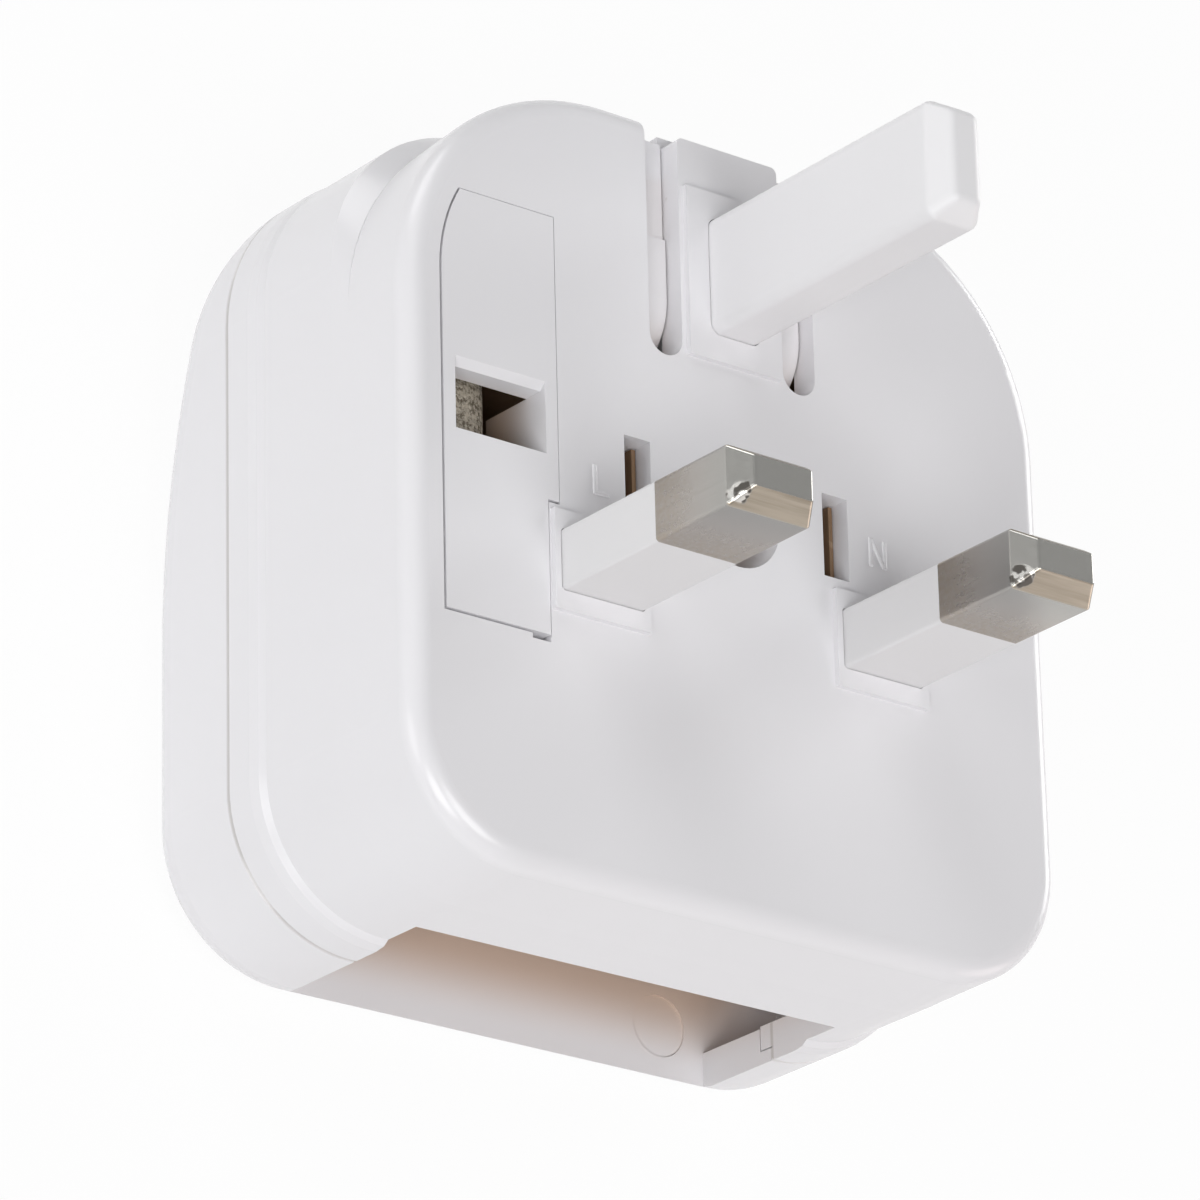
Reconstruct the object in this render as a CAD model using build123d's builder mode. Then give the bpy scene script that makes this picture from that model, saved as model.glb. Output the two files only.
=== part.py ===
from build123d import *
import os

# Three-pin conversion plug that closes round a flat two-pin plug.
# It lies on the back of its cover with the pins upwards: X runs from the live to the neutral pin,
# Y points from the cable outlet to the earth pin, and Z = 0 is the flat back.
# A depth is measured from the pin face into the body.

os.makedirs("parts", exist_ok=True)

# Body
body_width = 51.9
housing_depth = 18.1
cover_depth = 9.0
flange_straight_depth = 1.6
flange_depth = 6.0
grip_end_depth = 7.6
rim_start_depth = 14.65
rim_shoulder_depth = 15.1
rim_end_depth = 15.9
bottom_corner_radius = 9.2
face_edge_radius = 1.4
back_edge_radius = 2.9
back_rise = 8.31
back_curve_from_pin_row = 0.2
wall = 2.4
face_thickness = 2.0
back_thickness = 2.0
parting_bevel = 0.15
tongue_height = 1.1
tongue_land = 0.95
tongue_end_from_pin_row = 15.0
fit_clearance = 0.1

# Forms of the outline from front to back, with the outline that the hollow follows last: how far
# the sides and the bottom are drawn in, how far the top edge is lowered, and the top corner radius
flange_form = (0.5, 0.0, 15.9)
flange_back_form = (0.45, 0.3, 16.1)
groove_form = (0.45, 0.9, 15.2)
skirt_form = (0.42, 1.1, 11.6)
rim_shoulder_form = (0.12, 1.04, 12.0)
rim_form = (0.0, 1.0, 12.1)
hollow_form = (0.15, 1.9, 15.6)

# Pins of the British pattern
pin_pitch = 22.23
earth_pitch = 22.23
pin_row_to_edge = 20.9
earth_to_top = 9.97
blade_width = 6.35
blade_thickness = 3.97
blade_length = 17.7
sleeve_length = 9.45
sleeve_wall = 0.5
earth_length = 22.73
earth_blade = (3.97, 7.95)
tip_bevel = 1.6
tip_taper_angle = 31.0
pin_clearance = 0.05
pin_head = (6.9, 7.2)
pin_head_thickness = 1.6
rivet_radius = 1.5
rivet_head_radius = 2.3
rivet_head_height = 0.6
earth_head_overhang = (1.7, 1.4)
earth_head_gap = 0.25
earth_head_thickness = 2.0
earth_edge_radius = 0.75
pin_edge_radius = 0.25

# Pin face details
pad_height = 0.4
pad_border = (0.5, 1.3)
earth_pad = (7.4, 11.6)
tongue_half_width = 4.05
tongue_top_drop = 0.8
tongue_corner_radius = 0.45
side_slot_width = 2.6
side_slot_bottom = 16.0
contact_slot = (2.05, 5.6)
contact_slot_place = (7.9, 6.9)

# Case screw
screw_from_pin_row = 6.3
screw_recess_radius = 3.3
screw_recess_depth = 6.5
screw_boss_radius = 4.9
screw_head_radius = 3.0
screw_head_height = 2.2
screw_radius = 1.6
screw_length = 13.0
screw_hole_clearance = 0.25
screw_drive_width = 0.9
screw_drive_depth = 1.2
cover_boss_radius = 3.4

# Fuse and its carrier
fuse_place = (-18.5, 9.05)
fuse_depth = 6.5
fuse_length = 25.4
fuse_cap_radius = 3.175
fuse_cap_length = 5.6
fuse_pocket_gap = 1.05
fuse_cap_wall = 0.28
fuse_cap_bevel = 0.25
fuse_tube_radius = 2.88
carrier_left = -22.8
carrier_right = -14.1
carrier_notch_right = -14.95
carrier_notch_top = 3.9
carrier_end_margin = (1.35, 1.25)
carrier_corner_length = 5.6
carrier_corner_end = -21.3
carrier_thickness = 1.9
carrier_clearance = 0.12
carrier_rest_offset = 0.06
carrier_window = (6.9, 4.3)
window_x = -18.45
window_bevel = 0.5
cheek_depth = 6.0
cheek_wall = 0.85
saddle_width = 1.0
saddle_spread = 12.8
carrier_lever = (1.4, 0.5)

# Fuse clips and contacts, folded from sheet
sheet = 0.5
bend_radius = 0.7
clip_width = 4.0
clip_shift = 0.5
clip_grip_clearance = 0.08
clip_base_gap = 0.1
clip_flare = 0.25
clip_mouth_depth = 3.2
clip_tab_reach = 3.1
contact_pitch = 18.6
contact_bore_radius = 2.1
contact_wrap_angle = 300
contact_length = 17.0
contact_from_pin_row = 4.4
contact_tab_reach = 4.9
leaf_thickness = 0.3
leaf_depth = 1.35
leaf_clearance = 0.12

# Plug bay, cable outlet and inner plate
bay_end = 2.8
bay_half_width = 18.0
outlet_width = 33.0
outlet_depth = 11.85
shelf_thickness = 0.85
shelf_gap = 0.1
shelf_clearance = 0.3
rib = 1.2
pin_passage_radius = 2.5
support_rib = (1.3, 5.0)
cradle_width = 1.2
ejector_mark_radius = 2.1
ejector_mark_depth = 0.15
ejector_mark_place = (12.9, -17.3)

# Hooked arms of the cover, seen in the slots beside the earth pin
arm_clearance = 0.1
arm_depth = 1.55
arm_step = 0.25
arm_step_from_pin_row = 24.65
arm_nose_radius = 4.5
hook_end_depth = 4.8
hook_slot_depth = 5.2
hook_from_top = 0.8

# Places worked out from the sizes above
body_depth = housing_depth + cover_depth
body_length = pin_row_to_edge + earth_pitch + earth_to_top
pin_row_y = pin_row_to_edge - body_length / 2
top_y = body_length / 2
bottom_y = -body_length / 2
earth_y = pin_row_y + earth_pitch
screw_y = pin_row_y + screw_from_pin_row
live_x = -pin_pitch / 2
neutral_x = pin_pitch / 2
fuse_x = fuse_place[0]
fuse_y = pin_row_y + fuse_place[1]
carrier_bottom_y = fuse_y - fuse_length / 2 - carrier_end_margin[0]
carrier_top_y = fuse_y + fuse_length / 2 + carrier_end_margin[1]
clip_offset = (fuse_length - fuse_cap_length) / 2 - clip_shift
clip_base_depth = fuse_depth + fuse_cap_radius + clip_base_gap
shelf_depth = clip_base_depth + sheet + shelf_gap
shelf_back = shelf_depth + shelf_thickness
tab_depth = face_thickness + pin_head_thickness
contact_x = contact_pitch / 2
contact_start_y = pin_row_y + contact_from_pin_row
contact_mid_y = contact_start_y + contact_length / 2
contact_radius = contact_bore_radius + sheet / 2
bay_end_y = pin_row_y + bay_end
arm_x = tongue_half_width + side_slot_width / 2
arm_bottom_y = pin_row_y + side_slot_bottom + arm_clearance
hollow_top_y = top_y - hollow_form[1] - wall
arm_top_y = hollow_top_y - arm_clearance
hook_top_y = top_y - hook_from_top
earth_head_top_y = hollow_top_y - earth_head_gap
earth_head_bottom_y = earth_y - earth_blade[1] / 2 - earth_head_overhang[1]
curve_start_y = pin_row_y + back_curve_from_pin_row
curve_run = top_y - rim_form[1] - curve_start_y
back_curve_radius = (curve_run**2 + back_rise**2) / (2 * back_rise)
floor_depth = body_depth - back_thickness


def at_depth(depth):
    """Plane level with the pin face but this far behind it, facing the pins."""
    return Plane.XY.offset(body_depth - depth)


def across(y):
    """Upright plane across the plug at this Y, with X and Z as its axes."""
    return Plane.XZ.offset(-y)


def body_outline(depth, form, inset=0.0):
    """Outline of the body at a depth, in one of its forms, drawn in all round by inset."""
    side, top_drop, top_radius = form
    low = bottom_y + side + inset
    high = top_y - top_drop - inset
    with BuildSketch(at_depth(depth)) as outline:
        with Locations((0, (low + high) / 2)):
            Rectangle(body_width - 2 * side - 2 * inset, high - low)
        fillet(outline.vertices().group_by(Axis.Y)[-1], top_radius - inset)
        fillet(outline.vertices().group_by(Axis.Y)[0], bottom_corner_radius - side - inset)
    return outline.sketch


def keep_before_back(lift):
    """Keeps what lies before the back, which is flat below and curves forward to the top."""
    far_y = curve_start_y + back_curve_radius
    far_z = body_depth + back_curve_radius
    with BuildSketch(Plane.YZ) as side_view:
        with BuildLine():
            Line((-far_y, lift), (curve_start_y, lift))
            curve = CenterArc((curve_start_y, back_curve_radius), back_curve_radius - lift, -90, 60)
            Polyline(curve @ 1, (far_y, (curve @ 1).Y), (far_y, far_z), (-far_y, far_z), (-far_y, lift))
        make_face()
    extrude(side_view.sketch, amount=body_width, both=True, mode=Mode.INTERSECT)


def bar(depth, end_depth, x, y, width, length, mode=Mode.ADD):
    """Square-sided bar along the pins between two depths, added to or cut from the open part."""
    with BuildSketch(at_depth(depth)) as section:
        with Locations((x, y)):
            Rectangle(width, length)
    extrude(section.sketch, amount=depth - end_depth, mode=mode)


def carrier_outline(depth, grow):
    """Outline of the fuse carrier, with the corner that follows the rounded edge of the face."""
    left_corner = (carrier_left, carrier_bottom_y)
    arc_start = (carrier_left, carrier_top_y - carrier_corner_length)
    arc_end = (carrier_corner_end, carrier_top_y)
    with BuildSketch(at_depth(depth)) as outline:
        with BuildLine():
            Line(left_corner, arc_start)
            TangentArc(arc_start, arc_end, tangent=(0, 1))
            Polyline(
                arc_end,
                (carrier_right, carrier_top_y),
                (carrier_right, pin_row_y + carrier_notch_top),
                (carrier_notch_right, pin_row_y + carrier_notch_top),
                (carrier_notch_right, carrier_bottom_y),
                left_corner,
            )
        make_face()
        if grow > 0:
            offset(amount=grow, kind=Kind.INTERSECTION)
    return outline.sketch


# Whole outer form, before it is parted into housing and cover
with BuildPart() as envelope:
    flange_front = body_outline(flange_straight_depth, flange_form)
    extrude(flange_front, amount=flange_straight_depth)
    loft([flange_front, body_outline(flange_depth, flange_back_form)], ruled=True)
    loft([body_outline(flange_depth, groove_form), body_outline(grip_end_depth, skirt_form)], ruled=True)
    extrude(body_outline(grip_end_depth, skirt_form), amount=grip_end_depth - rim_start_depth)
    rim_shoulder = body_outline(rim_shoulder_depth, rim_shoulder_form)
    loft([body_outline(rim_start_depth, skirt_form), rim_shoulder], ruled=True)
    loft([rim_shoulder, body_outline(rim_end_depth, rim_form)], ruled=True)
    extrude(body_outline(rim_end_depth, rim_form), amount=rim_end_depth - body_depth - wall)
    keep_before_back(0)
    fillet(envelope.faces().sort_by(Axis.Z)[-1].edges(), face_edge_radius)
    flat_back = envelope.faces().sort_by(Axis.Z)[0]
    curved_back = envelope.faces().filter_by(GeomType.CYLINDER).sort_by(SortBy.AREA)[-1]
    back_edges = flat_back.edges() + curved_back.edges()
    rim_edges = back_edges.filter_by(lambda edge: abs(edge.center().Y - curve_start_y) > wall)
    fillet(rim_edges, back_edge_radius)

# Front housing: a shell with the pin face on top
tongue_end_y = pin_row_y + tongue_end_from_pin_row
above_tongue = (0, tongue_end_y + body_length / 2, body_width, body_length)
with BuildPart() as front_housing:
    add(envelope.part)
    split(bisect_by=at_depth(housing_depth), keep=Keep.TOP)
    chamfer(front_housing.faces().sort_by(Axis.Z)[0].edges(), parting_bevel)
    extrude(body_outline(housing_depth, rim_form, tongue_land), amount=-tongue_height)
    bar(housing_depth, housing_depth + tongue_height, *above_tongue, mode=Mode.SUBTRACT)
    hollow_depth = housing_depth + tongue_height - face_thickness
    extrude(body_outline(face_thickness, hollow_form, wall), amount=-hollow_depth, mode=Mode.SUBTRACT)
    # Boss under the screw recess and ribs that carry the inner plate
    with BuildSketch(at_depth(face_thickness)):
        with Locations((0, screw_y)):
            Circle(screw_boss_radius)
    extrude(amount=face_thickness - shelf_depth)
    rib_x = body_width / 2 - wall - support_rib[0] / 2
    rib_y = bottom_y + wall + support_rib[0] / 2
    with BuildSketch(at_depth(face_thickness)):
        with Locations((rib_x, pin_row_y), (rib_x, pin_row_y - pin_row_to_edge / 2)):
            Rectangle(*support_rib)
        with Locations((-rib_x, pin_row_y - pin_row_to_edge / 2)):
            Rectangle(*support_rib)
        with Locations((-contact_x, rib_y), (contact_x, rib_y)):
            Rectangle(support_rib[1], support_rib[0])
    extrude(amount=face_thickness - shelf_depth)
    # End walls of the fuse bay, under the ends of the carrier
    end_wall = (carrier_top_y - carrier_bottom_y - fuse_length) / 2 - fit_clearance
    bay_right = carrier_right + rib
    lower_end = (carrier_bottom_y + end_wall / 2, wall / 2 - body_width / 2)
    upper_end = (carrier_top_y - end_wall / 2, fuse_x - fuse_cap_radius - fuse_pocket_gap)
    for end_y, bay_left in (lower_end, upper_end):
        bar(
            face_thickness / 2,
            shelf_depth,
            (bay_left + bay_right) / 2,
            end_y,
            bay_right - bay_left,
            end_wall,
        )
    # Room for the fuse beside the rounded corner
    bar(
        face_thickness,
        shelf_depth,
        fuse_x - (fuse_cap_radius + fuse_pocket_gap) / 2,
        fuse_y,
        fuse_cap_radius + fuse_pocket_gap,
        carrier_top_y - carrier_bottom_y - 2 * end_wall,
        mode=Mode.SUBTRACT,
    )
    # Wall between the fuse and the live contact, and the seat of the live contact
    bar(
        face_thickness / 2,
        shelf_depth,
        carrier_right + 2 * carrier_clearance + rib / 2,
        fuse_y,
        rib,
        carrier_window[1],
    )
    bar(
        face_thickness / 2,
        tab_depth + sheet,
        -contact_x,
        contact_mid_y,
        contact_tab_reach / 2,
        support_rib[1],
    )
    # Opening for the fuse carrier, with the notch that it is levered out by
    opening = carrier_outline(0, carrier_clearance)
    opening = Pos(-carrier_rest_offset, -carrier_rest_offset) * opening
    extrude(opening, amount=-face_thickness, dir=(0, 0, 1), mode=Mode.SUBTRACT)
    lever_x = carrier_notch_right - carrier_lever[0] / 2
    lever_y = carrier_bottom_y - carrier_lever[1] / 2
    bar(0, face_thickness / 2, lever_x, lever_y, *carrier_lever, mode=Mode.SUBTRACT)
    # Screw recess and hole
    with Locations((0, screw_y, body_depth)):
        CounterBoreHole(screw_radius + screw_hole_clearance, screw_recess_radius, screw_recess_depth)
    # Slots beside the earth pin, open at the top, and the square-edged tongue between them
    slot_length = top_y - pin_row_y - side_slot_bottom
    with BuildSketch(at_depth(0)):
        with Locations((0, top_y - slot_length / 2 + side_slot_width / 4)):
            with GridLocations(2 * arm_x, 1, 2, 1):
                Rectangle(side_slot_width, slot_length - side_slot_width / 2)
        with Locations((0, top_y - slot_length + side_slot_width / 2)):
            with GridLocations(2 * arm_x, 1, 2, 1):
                Circle(side_slot_width / 2)
        with Locations((0, top_y - tongue_top_drop / 2)):
            Rectangle(2 * tongue_half_width, tongue_top_drop)
    extrude(amount=-face_thickness, mode=Mode.SUBTRACT)
    hook_slot_length = top_y - hollow_top_y + wall
    for side_x in (-arm_x, arm_x):
        hook_slot = (side_x, hollow_top_y - wall / 2 + hook_slot_length / 2, side_slot_width, hook_slot_length)
        bar(0, hook_slot_depth, *hook_slot, mode=Mode.SUBTRACT)
    tongue_edge = face_edge_radius + wall
    with BuildSketch(at_depth(0)):
        with Locations((0, top_y - tongue_top_drop - tongue_edge / 2)):
            Rectangle(2 * tongue_half_width, tongue_edge)
    extrude(amount=-face_thickness)
    tongue_corners = front_housing.edges().filter_by(Axis.Z).filter_by(
        lambda edge: abs(edge.center().Y - top_y + tongue_top_drop) < fit_clearance
        and abs(edge.center().X) < arm_x
    )
    fillet(tongue_corners, tongue_corner_radius)
    # Raised pads round the pins
    with BuildSketch(at_depth(0)):
        with Locations((live_x, pin_row_y), (neutral_x, pin_row_y)):
            Rectangle(blade_width + 2 * pad_border[0], blade_thickness + 2 * pad_border[1])
        with Locations((0, earth_y)):
            Rectangle(*earth_pad)
    extrude(amount=pad_height)
    # Holes for the pins, and the two slots over the contacts
    with BuildSketch(at_depth(-pad_height)):
        with Locations((live_x, pin_row_y), (neutral_x, pin_row_y)):
            RectangleRounded(
                blade_width + 2 * pin_clearance,
                blade_thickness + 2 * pin_clearance,
                pin_edge_radius + pin_clearance,
            )
        with Locations((0, earth_y)):
            RectangleRounded(
                earth_blade[0] + 2 * pin_clearance,
                earth_blade[1] + 2 * pin_clearance,
                earth_edge_radius + pin_clearance,
            )
        with Locations((0, pin_row_y + contact_slot_place[1])):
            with GridLocations(2 * contact_slot_place[0], 1, 2, 1):
                Rectangle(*contact_slot)
    extrude(amount=-(face_thickness + pad_height), mode=Mode.SUBTRACT)
    # Front part of the cable outlet
    outlet_end = housing_depth + tongue_height
    bar(outlet_depth, outlet_end, 0, bottom_y + wall / 2, outlet_width, 2 * wall, mode=Mode.SUBTRACT)
front_housing.part.label = "front_housing"
export_step(front_housing.part, "parts/front_housing.step")

# Inner features of the cover, which stand on its floor
with BuildPart() as cover_inside:
    # Screw boss that meets the boss of the housing
    with BuildSketch(at_depth(body_depth)):
        with Locations((0, screw_y)):
            Circle(cover_boss_radius)
    extrude(amount=body_depth - shelf_depth)
    with Locations((0, screw_y, body_depth - shelf_depth)):
        Hole(screw_radius + fit_clearance / 2, depth=screw_length)
    # Hooked arms, each with a rounded nose at its lower front corner
    arm_width = side_slot_width - 2 * arm_clearance
    arm_step_y = pin_row_y + arm_step_from_pin_row
    for side_x in (-arm_x, arm_x):
        with BuildSketch(Plane.YZ.offset(side_x)) as arm_side:
            with BuildLine():
                Polyline(
                    (arm_bottom_y, 0),
                    (arm_bottom_y, body_depth - arm_depth + arm_step),
                    (arm_step_y, body_depth - arm_depth + arm_step),
                    (arm_step_y, body_depth - arm_depth),
                    (hook_top_y, body_depth - arm_depth),
                    (hook_top_y, body_depth - hook_end_depth),
                    (arm_top_y, body_depth - hook_end_depth),
                    (arm_top_y, 0),
                    close=True,
                )
            make_face()
            low_end = arm_side.vertices().group_by(Axis.X)[0]
            fillet(low_end.sort_by(Axis.Y)[-1], arm_nose_radius)
        extrude(amount=arm_width / 2, both=True)
    # End wall of the plug bay and cradles under the contacts
    with BuildSketch(at_depth(body_depth)):
        with Locations((0, bay_end_y + rib / 2)):
            Rectangle(2 * bay_half_width, rib)
        with Locations((0, contact_mid_y)):
            with GridLocations(contact_pitch, contact_length / 2, 2, 2):
                Rectangle(2 * contact_radius + rib, cradle_width)
    extrude(amount=cover_depth)
    with BuildSketch(across(bay_end_y)):
        with Locations((-contact_x, cover_depth), (contact_x, cover_depth)):
            Circle(pin_passage_radius)
    extrude(amount=-rib, mode=Mode.SUBTRACT)
    with BuildSketch(across(contact_start_y)):
        with Locations((-contact_x, cover_depth), (contact_x, cover_depth)):
            Circle(contact_radius + sheet / 2 + fit_clearance)
    extrude(amount=-contact_length, mode=Mode.SUBTRACT)
    keep_before_back(back_thickness / 2)

# Space inside the cover, and the groove that takes the tongue of the housing
with BuildPart() as cover_space:
    extrude(body_outline(housing_depth, rim_form, wall), amount=-cover_depth)
    keep_before_back(back_thickness)
with BuildPart() as cover_groove:
    groove_height = tongue_height + fit_clearance
    groove_inset = tongue_land - fit_clearance
    extrude(body_outline(housing_depth, rim_form, groove_inset), amount=-groove_height)
    bar(housing_depth, housing_depth + groove_height, *above_tongue, mode=Mode.SUBTRACT)

# Rear cover: a shallow tray with the screw boss, the hooked arms and the cradles of the contacts
with BuildPart() as rear_cover:
    add(envelope.part)
    split(bisect_by=at_depth(housing_depth), keep=Keep.BOTTOM)
    chamfer(rear_cover.faces().sort_by(Axis.Z)[-1].edges(), parting_bevel)
    add(cover_space.part, mode=Mode.SUBTRACT)
    add(cover_groove.part, mode=Mode.SUBTRACT)
    add(cover_inside.part)
    # Rear part of the cable outlet, and the round ejector mark beside it
    bar(housing_depth, floor_depth, 0, bottom_y + wall / 2, outlet_width, 3 * wall, mode=Mode.SUBTRACT)
    with Locations((ejector_mark_place[0], pin_row_y + ejector_mark_place[1], body_depth - floor_depth)):
        Hole(ejector_mark_radius, depth=ejector_mark_depth)
rear_cover.part.label = "rear_cover"
export_step(rear_cover.part, "parts/rear_cover.step")

# Inner plate that closes the wiring space and carries the front half of the bay's end wall
with BuildPart() as contact_cover:
    extrude(body_outline(shelf_depth, hollow_form, wall + shelf_clearance), amount=-shelf_thickness)
    with BuildSketch(at_depth(shelf_back)):
        with Locations((0, bay_end_y + rib / 2)):
            Rectangle(2 * bay_half_width, rib)
    extrude(amount=shelf_back - housing_depth)
    with BuildSketch(across(bay_end_y)):
        with Locations((-contact_x, cover_depth), (contact_x, cover_depth)):
            Circle(pin_passage_radius)
    extrude(amount=-rib, mode=Mode.SUBTRACT)
    leg_x = contact_x + contact_radius
    with BuildSketch(at_depth(shelf_depth)):
        with Locations((0, screw_y)):
            Circle(cover_boss_radius + shelf_clearance)
        with Locations((0, contact_mid_y)):
            with GridLocations(2 * leg_x, 1, 2, 1):
                Rectangle(sheet + 2 * shelf_clearance, contact_length + 2 * shelf_clearance)
        with Locations((0, arm_bottom_y + body_length / 2 - shelf_clearance)):
            with GridLocations(2 * arm_x, 1, 2, 1):
                Rectangle(side_slot_width + shelf_clearance, body_length)
    extrude(amount=shelf_depth - housing_depth, mode=Mode.SUBTRACT)
contact_cover.part.label = "contact_cover"
export_step(contact_cover.part, "parts/contact_cover.step")

# Earth pin: a plastic blade with a head behind the tongue
with BuildPart() as earth_pin:
    bar(face_thickness, tip_bevel - earth_length, 0, earth_y, *earth_blade)
    extrude(earth_pin.faces().sort_by(Axis.Z)[-1], amount=tip_bevel, taper=tip_taper_angle)
    root_z = body_depth - face_thickness
    fillet(earth_pin.edges().filter_by(lambda edge: edge.center().Z > root_z), earth_edge_radius)
    bar(
        face_thickness + earth_head_thickness,
        face_thickness,
        0,
        (earth_head_top_y + earth_head_bottom_y) / 2,
        earth_blade[0] + 2 * earth_head_overhang[0],
        earth_head_top_y - earth_head_bottom_y,
    )
earth_pin.part.label = "earth_pin"
export_step(earth_pin.part, "parts/earth_pin.step")


def build_pin(name, pin_x):
    """Brass blade, waisted under its sleeve, with a head behind the face and a riveted end."""
    core = (blade_width - 2 * sleeve_wall, blade_thickness - 2 * sleeve_wall)
    with BuildPart() as pin:
        bar(tab_depth, face_thickness, pin_x, pin_row_y, *pin_head)
        bar(face_thickness, -sleeve_length, pin_x, pin_row_y, *core)
        bar(-sleeve_length, tip_bevel - blade_length, pin_x, pin_row_y, blade_width, blade_thickness)
        extrude(pin.faces().sort_by(Axis.Z)[-1], amount=tip_bevel, taper=tip_taper_angle)
        bare_z = body_depth + sleeve_length + pin_edge_radius
        fillet(pin.edges().filter_by(lambda edge: edge.center().Z > bare_z), pin_edge_radius)
        with BuildSketch(at_depth(tab_depth)):
            with Locations((pin_x, pin_row_y)):
                Circle(rivet_radius)
        extrude(amount=-sheet)
        with BuildSketch(at_depth(tab_depth + sheet)):
            with Locations((pin_x, pin_row_y)):
                Circle(rivet_head_radius)
        extrude(amount=-rivet_head_height)
        chamfer(pin.faces().sort_by(Axis.Z)[0].edges(), rivet_head_height / 2)
    pin.part.label = name
    export_step(pin.part, f"parts/{name}.step")


def build_sleeve(name, pin_x):
    """White sleeve, flush with the blade, from the back of the pin face to half way along the pin."""
    with BuildPart() as sleeve:
        inner = (blade_width - 2 * sleeve_wall, blade_thickness - 2 * sleeve_wall)
        bar(face_thickness, -sleeve_length, pin_x, pin_row_y, blade_width, blade_thickness)
        fillet(sleeve.edges().filter_by(Axis.Z), pin_edge_radius)
        bar(face_thickness, -sleeve_length, pin_x, pin_row_y, *inner, mode=Mode.SUBTRACT)
    sleeve.part.label = name
    export_step(sleeve.part, f"parts/{name}.step")


for side, pin_x in (("live", live_x), ("neutral", neutral_x)):
    build_pin(f"{side}_pin", pin_x)
    build_sleeve(f"{side}_pin_sleeve", pin_x)

# Fuse carrier: panel with a window, two cheeks and two saddles that hold the fuse
with BuildPart() as fuse_carrier:
    extrude(carrier_outline(0, 0), amount=-carrier_thickness)
    cheek_span = carrier_window[0] / 2 + cheek_wall / 2
    with BuildSketch(at_depth(carrier_thickness)):
        with Locations((window_x, fuse_y)):
            with GridLocations(2 * cheek_span, 1, 2, 1):
                Rectangle(cheek_wall, carrier_window[1])
    extrude(amount=carrier_thickness - cheek_depth)
    with BuildSketch(at_depth(carrier_thickness)):
        with Locations((window_x, fuse_y)):
            with GridLocations(1, saddle_spread, 1, 2):
                Rectangle(carrier_window[0], saddle_width)
    extrude(amount=carrier_thickness - fuse_depth + fuse_tube_radius / 2)
    with BuildSketch(across(fuse_y)):
        with Locations((fuse_x, body_depth - fuse_depth)):
            Circle(fuse_tube_radius + fit_clearance / 2)
    extrude(amount=saddle_spread, both=True, mode=Mode.SUBTRACT)
    bar(0, carrier_thickness, window_x, fuse_y, *carrier_window, mode=Mode.SUBTRACT)
    window_edge = fuse_carrier.edges().filter_by(Axis.X).group_by(Axis.Z)[-1]
    chamfer(window_edge.sort_by_distance((fuse_x, fuse_y + carrier_window[1] / 2, body_depth))[0], window_bevel)
fuse_carrier.part.label = "fuse_carrier"
export_step(fuse_carrier.part, "parts/fuse_carrier.step")

# Fuse: ceramic tube with a metal cap pressed on each end
with BuildPart() as fuse_tube:
    with BuildSketch(across(fuse_y)):
        with Locations((fuse_x, body_depth - fuse_depth)):
            Circle(fuse_tube_radius)
    extrude(amount=fuse_length / 2 - fuse_cap_wall, both=True)
fuse_tube.part.label = "fuse_tube"
export_step(fuse_tube.part, "parts/fuse_tube.step")


def build_cap(name, direction):
    """Cup-shaped end cap of the fuse, closed at its outer end."""
    end_y = fuse_y + direction * fuse_length / 2
    with BuildPart() as cap:
        with BuildSketch(across(end_y)):
            with Locations((fuse_x, body_depth - fuse_depth)):
                Circle(fuse_cap_radius)
        extrude(amount=direction * fuse_cap_length)
        with BuildSketch(across(end_y - direction * fuse_cap_wall)):
            with Locations((fuse_x, body_depth - fuse_depth)):
                Circle(fuse_cap_radius - fuse_cap_wall)
        extrude(amount=direction * fuse_cap_length, mode=Mode.SUBTRACT)
        rims = cap.edges().filter_by(GeomType.CIRCLE)
        chamfer(rims.sort_by(Axis.Y, reverse=direction > 0)[0], fuse_cap_bevel)
    cap.part.label = name
    export_step(cap.part, f"parts/{name}.step")


build_cap("fuse_cap_upper", 1)
build_cap("fuse_cap_lower", -1)


def build_clip(name, middle_y, rivet_y):
    """Spring clip folded round one fuse cap, with a tab that reaches to the live pin or its contact."""
    jaw = fuse_cap_radius + clip_grip_clearance + sheet / 2
    tab_z = body_depth - tab_depth - sheet / 2
    base_z = body_depth - clip_base_depth - sheet / 2
    mouth_z = body_depth - clip_mouth_depth
    with BuildPart() as clip:
        with BuildSketch(across(middle_y)):
            with BuildLine():
                FilletPolyline(
                    (live_x + clip_tab_reach, tab_z),
                    (fuse_x + jaw, tab_z),
                    (fuse_x + jaw, base_z),
                    (fuse_x - jaw, base_z),
                    (fuse_x - jaw, mouth_z - 2 * clip_flare),
                    (fuse_x - jaw - clip_flare, mouth_z),
                    radius=bend_radius,
                )
            trace(line_width=sheet)
        extrude(amount=clip_width / 2, both=True)
        tab_start = fuse_x + jaw + bend_radius
        tab_end = live_x + clip_tab_reach
        bar(
            tab_depth,
            tab_depth + sheet,
            (tab_start + tab_end) / 2,
            (middle_y + rivet_y) / 2,
            tab_end - tab_start,
            abs(rivet_y - middle_y) + clip_width,
        )
        with Locations((live_x, rivet_y, body_depth - tab_depth)):
            Hole(rivet_radius + pin_clearance, depth=2 * sheet)
    clip.part.label = name
    export_step(clip.part, f"parts/{name}.step")


build_clip("lower_fuse_clip", fuse_y - clip_offset, pin_row_y)
build_clip("upper_fuse_clip", fuse_y + clip_offset, fuse_y + clip_offset)


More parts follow.
